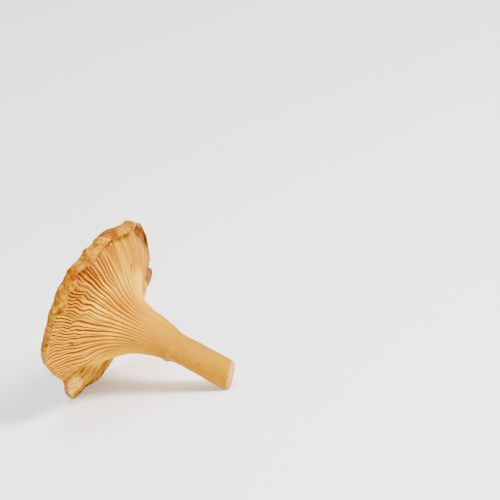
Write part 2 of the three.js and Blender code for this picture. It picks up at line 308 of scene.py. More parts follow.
# Colours; those of crests and valleys change with the share of the cap's radius, those of the stem
# and the skin with their noise. Towards the rim both crests and valleys get darker, partly their own
# colour and partly painted shade under the turned-down margin.
CREST_COLOURS = (
    (0.2, "#ba7e00"),
    (0.34, "#d49a00"),
    (0.6, "#fccc00"),
    # These last two stops are darker partly as painted shade under the turned-down margin
    (0.85, "#ca8600"),
    (1.0, "#b07000"),
)
# Valleys: partly their own orange-brown and partly painted shade in the recesses between the gills
VALLEY_COLOURS = (
    (0.2, "#ae7400"),
    (0.34, "#ac6800"),
    (0.6, "#ac601c"),
    # These last two stops are darker partly as painted shade under the turned-down margin
    (0.85, "#8e4818"),
    (1.0, "#8e4a18"),
)
STEM_COLOURS = ((0.3, "#9c6800"), (0.5, "#ac7600"), (0.7, "#ba8600"))
SKIN_COLOURS = ((0.39, "#723800"), (0.46, "#985f00"), (0.52, "#b68000"))

# Crest, where it has a colour of its own, and valley of each area
AREA_COLOURS = {
    # Darker valleys of the deep side: painted shade
    "deep_side": (None, "#8e4a1c"),
    "smooth_lobe": ("#ae7200", "#7e4c10"),
    "low_side": ("#d89600", "#8a4c1a"),
    # Bottom lobe: partly its own browner colour, partly painted shade of a lobe that faces down
    "back_lobe": ("#ca8c00", "#70400e"),
}
EDGE_BROWN = "#6a2e06"
CUT_COLOUR = "#dcae5c"
CLOUD_COLOUR = "#a05c00"
STREAK_COLOUR = "#e8b800"
# Pale crumpled flesh, made brighter still as painted light where it lies in shade
PALE_PATCH_AND_LIGHT_COLOUR = "#ffcc50"
FLESH_CREASE_COLOUR = "#70400e"
SKIN_CREASE_COLOUR = "#7c3e00"
LOW_SKIN_AND_SPECK_COLOUR = "#7e3c00"
SHEEN_COLOUR = "#ff9c00"
BROWN = "#6e3408"
ORANGE_BROWN = "#8c4600"
RED_BROWN = "#7a2c08"
DARK = "#20100c"
CREAM = "#ffe070"
PALE = "#f6c428"

# Stains placed one by one on the underside and on the skin: place, angle, width in millimetres,
# strength, colour
FLESH_MARKS = (
    (11.85, 336, 0.5, 0.6, RED_BROWN),
    (12.2, 336, 0.5, 0.6, RED_BROWN),
    (11.45, 337, 0.6, 0.7, RED_BROWN),
    (11.1, 339, 0.4, 0.5, BROWN),
    (12.6, 333, 0.4, 0.5, BROWN),
    (13.45, 323, 0.5, 0.9, CREAM),
    (16.6, 334, 0.5, 0.9, CREAM),
    (4.9, 252, 0.6, 0.5, PALE),
    (4.75, 225, 0.7, 0.5, BROWN),
    (4.6, 250, 0.4, 0.4, BROWN),
    (4.45, 286, 0.3, 0.9, BROWN),
    (4.3, 278, 0.3, 0.8, BROWN),
    (3.65, 254, 0.45, 1.0, DARK),
    (1.3, 241, 0.3, 0.8, BROWN),
    (11.85, 234, 0.4, 0.9, DARK),
    (14.1, 211, 0.5, 0.9, DARK),
    (7.5, 237, 0.4, 0.8, RED_BROWN),
    (12.75, 163, 0.8, 0.5, RED_BROWN),
)
SKIN_MARKS = (
    (1.45, 294, 0.9, 0.8, ORANGE_BROWN),
    (1.85, 292, 0.7, 0.8, ORANGE_BROWN),
    (1.85, 290, 0.7, 0.8, ORANGE_BROWN),
    (2.15, 289, 0.7, 0.8, ORANGE_BROWN),
    (1.85, 285, 0.9, 0.7, ORANGE_BROWN),
    (2.35, 280, 0.9, 0.7, ORANGE_BROWN),
    (1.7, 280, 0.8, 0.7, ORANGE_BROWN),
    (2.0, 275, 0.9, 0.7, ORANGE_BROWN),
    (2.05, 266, 1.3, 0.8, ORANGE_BROWN),
    (0.6, 293, 0.6, 0.8, BROWN),
    (0.6, 299, 0.6, 0.7, BROWN),
    (1.75, 260, 0.6, 0.6, PALE),
    (1.45, 255, 0.6, 0.95, DARK),
    (1.2, 242, 1.6, 0.8, ORANGE_BROWN),
    (1.05, 238, 1.4, 0.8, BROWN),
    (1.6, 339, 0.9, 0.8, BROWN),
    (1.4, 328, 0.5, 0.95, DARK),
    (1.65, 346, 0.6, 0.9, DARK),
    (1.5, 316, 0.8, 0.6, PALE),
    (1.0, 318, 0.7, 0.6, PALE),
    (2.3, 270, 1.2, 0.7, ORANGE_BROWN),
    (1.3, 272, 0.7, 0.7, ORANGE_BROWN),
    (1.2, 283, 0.7, 0.7, ORANGE_BROWN),
    (2.3, 298, 1.0, 0.7, ORANGE_BROWN),
    (1.65, 234, 1.0, 0.8, ORANGE_BROWN),
    (0.75, 217, 1.0, 0.8, BROWN),
)

# Warts and dents placed one by one: side, place, angle, width and height in millimetres
BUMPS = (
    (UNDERSIDE, 4.9, 252, 0.9, 0.45),
    (UNDERSIDE, 4.7, 225, 1.0, -0.5),
    (UNDERSIDE, 4.75, 200, 1.2, -0.4),
    (UNDERSIDE, 5.05, 232, 1.4, 0.5),
    (UNDERSIDE, 5.1, 212, 1.5, 0.6),
    (UNDERSIDE, 5.15, 192, 1.5, 0.6),
    (UNDERSIDE, 5.05, 270, 1.2, 0.3),
    (UNDERSIDE, 5.3, 290, 1.0, 0.25),
    (UNDERSIDE, 5.5, 344, 1.3, 0.4),
    (UNDERSIDE, 4.55, 327, 1.3, -0.35),
    (UNDERSIDE, 9.55, 346, 3.5, -0.5),
    (UNDERSIDE, 8.0, 345, 3.5, -0.6),
    (UNDERSIDE, 9.4, 4, 3.4, -1.1),
    (UNDERSIDE, 10.0, 22, 4.0, -0.9),
    (UNDERSIDE, 10.0, 44, 4.5, -1.2),
    (UNDERSIDE, 11.3, 40, 4.5, -0.9),
    (UNDERSIDE, 9.8, 66, 4.5, -0.9),
    (UNDERSIDE, 10.65, 146, 4.5, -1.6),
    (UNDERSIDE, 11.7, 140, 5.0, -1.3),
    (UNDERSIDE, 16.9, 121, 5.0, -1.2),
    (SKIN, 0.5, 121, 5.0, -1.2),
    (UNDERSIDE, 5.5, 350, 5.0, 0.55),
    (UNDERSIDE, 6.6, 350, 4.5, 0.5),
    (SKIN, 2.8, 246, 6.0, -0.5),
    (UNDERSIDE, 16.9, 213, 5.0, -0.8),
    (SKIN, 0.7, 213, 5.0, -0.9),
    (UNDERSIDE, 16.9, 5, 5.0, -1.0),
    (SKIN, 0.4, 5, 5.0, -1.0),
    (UNDERSIDE, 16.9, 27, 5.0, -0.6),
    (SKIN, 0.4, 27, 5.0, -0.6),
    (SKIN, 2.6, 302, 1.6, 0.9),
    (SKIN, 1.7, 316, 1.0, 0.5),
    (SKIN, 2.0, 308, 1.2, -0.6),
)


def smooth(low, high, value):
    """A smooth step of values, from 0 at low to 1 at high."""
    share = np.clip((value - low) / (high - low), 0, 1)
    return share * share * (3 - 2 * share)


def along(table, place):
    """A smooth curve through the rows of a table, at any places from 0 to rows - 1."""
    rows = np.array(table, float)
    row = np.clip(np.floor(place).astype(int), 0, len(rows) - 2)
    share = (place - row)[..., None]
    before = rows[np.maximum(row - 1, 0)]
    start = rows[row]
    end = rows[row + 1]
    after = rows[np.minimum(row + 2, len(rows) - 1)]
    linear = end - before
    square = 2 * before - 5 * start + 4 * end - after
    cube = 3 * start - before - 3 * end + after
    return start + 0.5 * share * (linear + share * (square + share * cube))


def rim_at(angle):
    """The rim at angles in radians: radius, lift and margin, by a curve that closes on itself."""
    rim = np.array(RIM, float)
    degrees = rim[:, 0]
    wrapped = np.degrees(angle) % 360
    here = np.searchsorted(degrees, wrapped, side="right") - 1
    following = (here + 1) % len(rim)
    before = (here - 1) % len(rim)
    after = (here + 2) % len(rim)
    span = (degrees[following] - degrees[here]) % 360
    span_before = (degrees[here] - degrees[before]) % 360
    span_after = (degrees[after] - degrees[following]) % 360
    share = ((wrapped - degrees[here]) % 360) / span
    square = share**2
    cube = share**3
    values = []
    for column in (1, 2, 3):
        value = rim[:, column]
        leaving = (value[following] - value[before]) * span / (span_before + span)
        arriving = (value[after] - value[here]) * span / (span + span_after)
        values.append(
            (2 * cube - 3 * square + 1) * value[here]
            + (cube - 2 * square + share) * leaving
            + (3 * square - 2 * cube) * value[following]
            + (cube - square) * arriving
        )
    return values


def fold_height(radius, angle):
    """Height of the fold between two lobes at radii and angles in radians."""
    line = np.array(FOLD_LINE, float)
    degrees = np.degrees(angle) - np.interp(radius, line[:, 0], line[:, 1])
    distance = np.radians((degrees + 180) % 360 - 180) * radius
    before = smooth(*FOLD_STEP, distance)
    behind = (1 - before) * (1 - smooth(*FOLD_COMES_DOWN, -distance))
    bulge = before * np.exp(-((distance / FOLD_BULGE_WIDTH) ** 2))
    share = smooth(*FOLD_BEGINS, radius) * (1 - FOLD_FADE_SHARE * smooth(*FOLD_FADES, radius))
    return share * (FOLD_DEPTH * behind - FOLD_BULGE * bulge)


def form(table, place, angle, fold_share=1.0):
    """Points of the form without gills, in the growing frame: Z up, rim plane at Z = 0."""
    place, angle = np.broadcast_arrays(np.asarray(place, float), angle)
    radius, drop, radius_per_margin, drop_per_margin, _ = np.moveaxis(along(table, place), -1, 0)
    rim_radius, lift, margin = rim_at(angle)
    share = smooth(*RIM_SHARE, radius)
    depth = drop + drop_per_margin * margin
    cut_lean = CUT_LEAN * np.cos(angle - math.radians(CUT_LEAN_TOWARDS)) * radius / STEM_RADIUS
    depth = depth + (cut_lean + CUT_LONGER) * smooth(*CUT_COMES_IN, depth)
    swelling = 0
    for most, round_it, lengthwise, start in STEM_SWELLINGS:
        swelling = swelling + most * np.sin(round_it * angle + lengthwise * depth + start)
    uneven = 1 + swelling * smooth(*SWELLINGS_BEGIN, depth) / STEM_RADIUS
    reach = (radius + radius_per_margin * margin) * uneven * (1 + (rim_radius / CAP_RADIUS - 1) * share)
    bend = np.clip(depth / STEM_LENGTH, 0, STEM_BEND_STOPS)
    fold = fold_share * fold_height(radius, angle) * (FOLD_SKIN_SHARE if table is SKIN else 1)
    return np.stack(
        (
            reach * np.cos(angle) + STEM_BEND[0] * bend ** STEM_BEND_POWERS[0],
            reach * np.sin(angle) + STEM_BEND[1] * bend ** STEM_BEND_POWERS[1],
            lift * share - depth + fold,
        ),
        -1,
    )


def outward(table, place, angle):
    """Directions straight out of the form as it is without its fold."""
    step = 0.01
    across = form(table, place, angle + step, 0) - form(table, place, angle - step, 0)
    onward = form(table, place + step, angle, 0) - form(table, place - step, angle, 0)
    normal = np.cross(across, onward)
    return normal / np.maximum(np.linalg.norm(normal, axis=-1, keepdims=True), 1e-9)


class Random:
    """Repeatable random numbers from 0 to 1, each worked out from the one before."""

    FACTOR = 1664525
    STEP = 1013904223
    COUNT = 2**32

    def __init__(self, seed):
        self.state = seed

    def draw(self):
        self.state = (self.state * self.FACTOR + self.STEP) % self.COUNT
        return self.state / self.COUNT


# Share of a half angle up to which an angle still counts as quite near
NEAR_BEGINS = 0.6


def near(angle, centre, half, end=1.5):
    """How near angles are to a direction in degrees: 1 there, 0 where they are end times half away."""
    away = angle - math.radians(centre)
    away = np.abs(np.arctan2(np.sin(away), np.cos(away)))
    return 1 - smooth(NEAR_BEGINS, end, away / math.radians(half))


def near_wide_valleys(angle):
    """How near angles are to the side of the cap with the wide valleys."""
    return near(angle, WIDE_VALLEYS["centre"], WIDE_VALLEYS["half"])


def grow_gills():
    """Every gill that meets the rim, as arrays: its ridge, pair, forks and three angles."""
    chance = Random(GILL_SEED)
    rows = []
    for ridge in range(PRIMARY_GILLS):
        pattern = LEAF_PATTERN[ridge % len(LEAF_PATTERN)]
        first_fork = FIRST_FORK[0] + (FIRST_FORK[1] - FIRST_FORK[0]) * chance.draw()
        for side, leaves in enumerate(pattern):
            second_fork = SECOND_FORK[0] + (SECOND_FORK[1] - SECOND_FORK[0]) * chance.draw()
            for _ in range(leaves):
                rows.append((ridge, ridge * 2 + side, first_fork, second_fork, chance.draw() - 0.5))
    ridge, pair, first_fork, second_fork, jitter = np.array(rows).T
    angle = 2 * np.pi * (np.arange(len(rows)) + GILL_JITTER * jitter) / len(rows)
    pair_angle = np.array([angle[pair == p].mean() for p in pair])
    return {
        "ridge": ridge,
        "pair": pair,
        "leaf": np.arange(len(rows)),
        "first_fork": first_fork,
        "second_fork": second_fork + WIDE_VALLEYS["later_fork"] * near_wide_valleys(pair_angle),
        "angle": angle,
        "pair_angle": pair_angle,
        "ridge_angle": np.array([angle[ridge == r].mean() for r in ridge]),
    }


GILLS = grow_gills()


def spread(fork, radius):
    """Share of their final spacing that two gills from one fork have at a radius."""
    run = np.clip((radius - fork) / (CAP_RADIUS - fork), 0, 1)
    return TWIN_GAP + (1 - TWIN_GAP) * (1 - (1 - run) ** 2)


def level_members(level):
    """Numbers of the gills that stand for every ridge, every pair or every gill."""
    group = GILLS[level]
    return np.flatnonzero(group != np.roll(group, 1))


def crest_angles(level, radius):
    """Angle of every crest of a level on rings of these radii: one row for each ring."""
    radius = radius[:, None]
    chosen = {name: values[level_members(level)] for name, values in GILLS.items()}
    ridge_angle = chosen["ridge_angle"]
    wander = sum(share * np.sin(radius / length + turn * ridge_angle) for share, length, turn in GILL_WAVES)
    crest = ridge_angle + GILL_WANDER * wander * smooth(*WANDER_BEGINS, radius) / radius
    if level != "ridge":
        crest = crest + (chosen["pair_angle"] - ridge_angle) * spread(chosen["first_fork"], radius)
    if level == "leaf":
        crest = crest + (chosen["angle"] - chosen["pair_angle"]) * spread(chosen["second_fork"], radius)
    return crest


def valley_share(level, radius):
    """How deep the valley after every crest is on these rings, as a share of the gills' height."""
    members = level_members(level)
    following = np.roll(members, -1)
    same_ridge = GILLS["ridge"][members] == GILLS["ridge"][following]
    same_pair = GILLS["pair"][members] == GILLS["pair"][following]
    fork = np.where(same_pair, GILLS["second_fork"][members], GILLS["first_fork"][members])
    return np.where(same_ridge, smooth(fork, fork + FORK_RUN, radius[:, None]), 1.0)


def gill_share(angle):
    """Height of the gills as a share: they are low on the lobe that grew smooth."""
    inside = near(angle, SMOOTH_LOBE["centre"], SMOOTH_LOBE["half"], 1.2)
    return 1 - (1 - SMOOTH_LOBE["share"]) * inside


def crinkle(angle, radius):
    """Sideways zigzag of the gills towards the margin, in millimetres."""
    zigzag = 0
    for waves, step, start, width in ZIGZAGS:
        zigzag = zigzag + width * (2 / np.pi) * np.arcsin(np.sin(waves * angle + step * radius + start))
    strength = ZIGZAG_ELSEWHERE + (1 - ZIGZAG_ELSEWHERE) * near(angle, *ZIGZAG_PLACE)
    return zigzag * strength * smooth(*ZIGZAG_BEGINS, radius)


def gill_band(level, places, cell):
    """Rings of the underside whose columns follow the gills of a level."""
    places = np.asarray(places, float)
    radius, gill_height = along(UNDERSIDE, places)[:, [0, 4]].T
    crest = crest_angles(level, radius)
    following = np.concatenate((crest[:, 1:], crest[:, :1] + 2 * np.pi), 1)
    cell = np.array(cell)
    angle = (crest[..., None] + (following - crest)[..., None] * cell).reshape(len(places), -1)
    angle = angle + crinkle(angle, radius[:, None]) / radius[:, None]
    wide = near_wide_valleys(angle)
    narrowness = VALLEY_NARROWNESS + (WIDE_VALLEYS["narrowness"] - VALLEY_NARROWNESS) * wide
    depth = np.tile(1 - np.abs(2 * cell**VALLEY_LEAN - 1), crest.shape[1])[None, :] ** narrowness
    valley = np.repeat(valley_share(level, radius), len(cell), 1) * depth
    return ring_values(UNDERSIDE, places, angle, valley, gill_height[:, None] * gill_share(angle))


def plain_band(table, places, columns):
    """Rings of the form with evenly spaced columns and no gills."""
    places = np.asarray(places, float)
    angle = np.repeat(2 * np.pi * np.arange(columns)[None, :] / columns, len(places), 0)
    return ring_values(table, places, angle, np.zeros_like(angle), np.zeros_like(angle))


def ring_values(table, places, angle, valley, gill_height):
    """Every value that the mesh keeps, as arrays with one row for each ring."""
    places = np.repeat(places[:, None], angle.shape[1], 1)
    points = form(table, places, angle)
    if table is SKIN:
        span = np.hypot(points[..., 0], points[..., 1])
        inner = smooth(*TOP_WAVES_BEGIN, span) * (1 - smooth(*TOP_WAVES_FADE, span))
        for height, waves, start, turn in TOP_WAVES:
            points[..., 2] += height * inner * np.sin(waves * angle + start + turn * span)
    return {
        "points": points,
        "outward": outward(table, places, angle),
        "valley": valley,
        "gill_height": gill_height,
        "skin": np.full_like(angle, float(table is SKIN)),
        "place": places,
        "reach": along(table, places)[..., 0],
        "angle": angle,
    }


def band_faces(low, high, low_angles, high_angles):
    """Triangles between two rings with any number of vertices, closed by the shorter next step."""
    faces = []
    low_count = len(low_angles)
    high_count = len(high_angles)
    low_angles = np.append(low_angles, low_angles[:2] + 2 * np.pi).tolist()
    high_angles = np.append(high_angles, high_angles[:2] + 2 * np.pi).tolist()
    here = 0
    there = 0
    while here < low_count or there < high_count:
        corner = low + here % low_count
        opposite = high + there % high_count
        low_step = abs(low_angles[here + 1] - high_angles[there])
        high_step = abs(high_angles[there + 1] - low_angles[here])
        if there >= high_count or (here < low_count and low_step < high_step):
            here += 1
            faces.append((corner, low + here % low_count, opposite))
        else:
            there += 1
            faces.append((corner, high + there % high_count, opposite))
    return faces


def grow_form():
    """The smooth closed form: one row of values for each vertex, and faces that point outward. The
    numbers of rings keep it under 200,000 triangles."""
    bands = [
        plain_band(UNDERSIDE, np.linspace(0.3, 2.8, 23), PLAIN_COLUMNS),
        plain_band(UNDERSIDE, np.linspace(2.9, 5.0, 28), PLAIN_COLUMNS),
        gill_band("ridge", np.linspace(5.1, 8.85, 38), RIDGE_CELL),
        gill_band("pair", np.linspace(8.95, 10.85, 26), GILL_CELL),
        gill_band("leaf", np.linspace(10.92, 15.0, 35), GILL_CELL),
        gill_band("leaf", np.linspace(15.25, 16.75, 5), GILL_CELL),
        plain_band(SKIN, np.linspace(0, 4.4, 22), RIM_COLUMNS),
        plain_band(SKIN, np.linspace(4.6, 10.6, 28), PLAIN_COLUMNS),
    ]
    rings = []
    total = 0
    for band in bands:
        for angles in band["angle"]:
            rings.append((total, angles))
            total += len(angles)
    flat = {}
    for name in bands[0]:
        flat[name] = np.concatenate([band[name].reshape(-1, *band[name].shape[2:]) for band in bands])
    faces = []
    for (low, low_angles), (high, high_angles) in zip(rings, rings[1:]):
        faces += band_faces(low, high, low_angles, high_angles)
    poles = ((UNDERSIDE, 0.0, rings[0], -1), (SKIN, len(SKIN) - 1.0, rings[-1], 1))
    for table, place, (start, angles), up in poles:
        pole = {name: np.zeros((1, *values.shape[1:])) for name, values in flat.items()}
        pole["points"] = form(table, [place], np.zeros(1))
        pole["outward"][0, 2] = up
        pole["skin"][0] = float(table is SKIN)
        pole["place"][0] = place
        flat = {name: np.concatenate((values, pole[name])) for name, values in flat.items()}
        for column in range(len(angles)):
            edge = (start + column, start + (column + 1) % len(angles))
            faces.append((len(flat["place"]) - 1, *edge[::up]))
    return flat, faces


def lying_matrix():
    """Turns the growing frame into the lying one, in millimetres."""
    turn = Matrix.Rotation(math.radians(HEADING), 4, "Z")
    turn = turn @ Matrix.Rotation(math.radians(LEAN), 4, "Y")
    turn = turn @ Matrix.Rotation(math.radians(SPIN), 4, "Z")
    return Matrix.Translation(CAP_CENTRE) @ turn


def linear(code):
    """An sRGB hex colour as linear red, green, blue and alpha."""
    channels = [int(code[i : i + 2], 16) / 255 for i in (1, 3, 5)]
    return (*[c / 12.92 if c <= 0.04045 else ((c + 0.055) / 1.055) ** 2.4 for c in channels], 1.0)


def pattern_scale(size):
    """Scale of a pattern on Object coordinates whose parts are this many millimetres wide."""
    return 1 / (size * MILLIMETRE)


def add(tree, kind, inputs=None, **settings):
    """Adds a node with its settings. An input is a value, a socket, or a node, which then feeds it by
    its first output."""
    node = tree.nodes.new(kind)
    for name, value in settings.items():
        setattr(node, name, value)
    for name, value in (inputs or {}).items():
        if isinstance(value, bpy.types.Node):
            value = next(socket for socket in value.outputs if socket.enabled)
        if isinstance(value, bpy.types.NodeSocket):
            tree.links.new(value, node.inputs[name])
        else:
            node.inputs[name].default_value = value
    return node


def set_ramp(node, stops):
    """Fills a colour ramp with stops of (position, colour code)."""
    elements = node.color_ramp.elements
    while len(elements) < len(stops):
        elements.new(0.5)
    for element, (position, code) in zip(elements, stops):
        element.position = position
        element.color = linear(code)


def new_material(name):
    """A material, its node tree and its shader."""
    material = bpy.data.materials.new(name)
    material.use_nodes = True
    return material, material.node_tree, material.node_tree.nodes["Principled BSDF"]


def place_on(side, place, angle):
    """A point on the lying mushroom, in metres."""
    point = form(side, [place], np.array([math.radians(angle)]))[0]
    return lying_matrix() @ Vector(point) * MILLIMETRE


# Sockets of a node that mixes two colours
SHARE = 0
UNDER = 6
OVER = 7


def paint_marks(tree, colour, side, marks):
    """Lays small ragged stains over the colour of one side of the mushroom."""
    position = add(tree, "ShaderNodeTexCoord").outputs["Object"]
    grain = {"Vector": position, "Scale": pattern_scale(MARK_GRAIN), "Detail": 3.0}
    ragged = add(tree, "ShaderNodeTexNoise", grain)
    for place, angle, width, strength, code in marks:
        size = width * MILLIMETRE
        centre = place_on(side, place, angle)
        distance = add(tree, "ShaderNodeVectorMath", {0: position, 1: centre}, operation="DISTANCE")
        uneven = add(tree, "ShaderNodeMath", {0: ragged, 1: MARK_RAGGED * size}, operation="MULTIPLY")
        distance = add(tree, "ShaderNodeMath", {0: distance, 1: uneven}, operation="ADD")
        inside = add(
            tree,
            "ShaderNodeMapRange",
            {
                "Value": distance,
                "From Min": MARK_FADES[0] * size,
                "From Max": MARK_FADES[1] * size,
                "To Min": strength,
                "To Max": 0.0,
            },
            interpolation_type="SMOOTHSTEP",
        )
        layer = {SHARE: inside, UNDER: colour, OVER: linear(code)}
        colour = add(tree, "ShaderNodeMix", layer, data_type="RGBA")
    return colour


def set_finish(tree, shader, colour, roughness, glow):
    """A satin, faintly moist surface with a warm sheen. Light goes about a millimetre in and comes
    out orange."""
    tree.links.new(colour.outputs[2], shader.inputs["Base Color"])
    values = {
        "Roughness": roughness,
        "Specular IOR Level": 0.2,
        "Specular Tint": linear(SHEEN_COLOUR),
        "Subsurface Weight": glow,
        "Subsurface Radius": (1.0, 0.45, 0.15),
        "Subsurface Scale": MILLIMETRE,
    }
    for name, value in values.items():
        shader.inputs[name].default_value = value


FLESH_MASKS = (
    "valley_seen",
    "reach_share",
    "stem",
    "cut",
    "smooth_lobe",
    "back_lobe",
    "low_side",
    "deep_side",
    "brown_edge",
    "patch",
    "crumple",
    "dent",
)


def flesh_material():
    """Firm, faintly moist flesh: satin, with light that goes a little way in. Crests of the gills are
    pale, their valleys orange-brown, partly their own colour and partly painted shade, and the stem
    is clear yellow with fine fibres along it. Painted shade also darkens the rim, the deep side and
    the bottom lobe, and painted light brightens the pale patch."""
    material, tree, shader = new_material("chanterelle_flesh")
    seen = {
        name: add(tree, "ShaderNodeAttribute", attribute_name=name).outputs["Fac"]
        for name in FLESH_MASKS
    }
    growth = add(tree, "ShaderNodeAttribute", attribute_name="growth").outputs["Vector"]
    position = add(tree, "ShaderNodeTexCoord").outputs["Object"]
    noises = {
        name: add(
            tree,
            "ShaderNodeTexNoise",
            {"Vector": vector, "Scale": scale, "Detail": detail, "Roughness": roughness},
        )
        for name, vector, scale, detail, roughness in (
            ("fibres", growth, GROWTH_RUN / FIBRE_LENGTH, 4.0, 0.6),
            ("streaks", growth, GROWTH_RUN / STREAK_LENGTH, 3.0, 0.6),
            ("clouds", position, pattern_scale(CLOUD_SIZE), 3.0, 0.5),
            ("brown_grain", position, pattern_scale(BROWN_GRAIN), 3.0, 0.5),
        )
    }

    # Shares of the colours: each grows smoothly from nothing to its most between two values
    shares = {
        name: add(
            tree,
            "ShaderNodeMapRange",
            {"Value": value, "From Min": nothing, "From Max": full, "To Max": most},
            interpolation_type="SMOOTHSTEP",
        )
        for name, value, nothing, full, most in (
            ("valleys", seen["valley_seen"], 0.14, 0.95, 1.0),
            ("streaks", noises["streaks"], 0.5, 0.7, 0.45),
            ("clouds", noises["clouds"], 0.46, 0.72, 0.38),
            ("creases", seen["dent"], 0.45, 0.36, 0.3),
        )
    }
    grain = {"Value": noises["brown_grain"], "From Min": 0.3, "From Max": 0.5, "To Min": 0.4}
    high = {"Value": seen["dent"], "From Min": 0.42, "From Max": 0.54, "To Min": 0.4}
    off_stem = {0: STREAK_STRENGTH, 1: seen["stem"]}
    products = {
        name: add(tree, "ShaderNodeMath", {0: first, 1: second}, operation="MULTIPLY")
        for name, first, second in (
            ("streaks", shares["streaks"], add(tree, "ShaderNodeMath", off_stem, operation="SUBTRACT")),
            ("brown_edge", seen["brown_edge"], add(tree, "ShaderNodeMapRange", grain)),
            ("patch", seen["patch"], add(tree, "ShaderNodeMapRange", high)),
            ("creases", seen["crumple"], shares["creases"]),
        )
    }

    crest = add(tree, "ShaderNodeValToRGB", {"Fac": seen["reach_share"]})
    set_ramp(crest, CREST_COLOURS)
    valley = add(tree, "ShaderNodeValToRGB", {"Fac": seen["reach_share"]})
    set_ramp(valley, VALLEY_COLOURS)
    for name, (crest_code, valley_code) in AREA_COLOURS.items():
        layer = {SHARE: seen[name], UNDER: valley, OVER: linear(valley_code)}
        valley = add(tree, "ShaderNodeMix", layer, data_type="RGBA")
        if crest_code:
            layer = {SHARE: seen[name], UNDER: crest, OVER: linear(crest_code)}
            crest = add(tree, "ShaderNodeMix", layer, data_type="RGBA")
    stem_colour = add(tree, "ShaderNodeValToRGB", {"Fac": noises["fibres"]})
    set_ramp(stem_colour, STEM_COLOURS)
    colour = crest
    for share, over in (
        # The valleys' colour is partly painted shade in the recesses between the gills
        (shares["valleys"], valley),
        (seen["stem"], stem_colour),
        (products["streaks"], linear(STREAK_COLOUR)),
        (seen["cut"], linear(CUT_COLOUR)),
        (shares["clouds"], linear(CLOUD_COLOUR)),
        (products["brown_edge"], linear(EDGE_BROWN)),
        # The pale patch is partly painted light
        (products["patch"], linear(PALE_PATCH_AND_LIGHT_COLOUR)),
    ):
        colour = add(tree, "ShaderNodeMix", {SHARE: share, UNDER: colour, OVER: over}, data_type="RGBA")
    colour = paint_marks(tree, colour, UNDERSIDE, FLESH_MARKS)
    layer = {SHARE: products["creases"], UNDER: colour, OVER: linear(FLESH_CREASE_COLOUR)}
    colour = add(tree, "ShaderNodeMix", layer, data_type="RGBA")
    set_finish(tree, shader, colour, roughness=0.55, glow=0.05)
    relief = {"Height": noises["fibres"], "Strength": 0.3, "Distance": 0.2 * MILLIMETRE}
    bump = add(tree, "ShaderNodeBump", relief)
    tree.links.new(bump.outputs["Normal"], shader.inputs["Normal"])
    return material


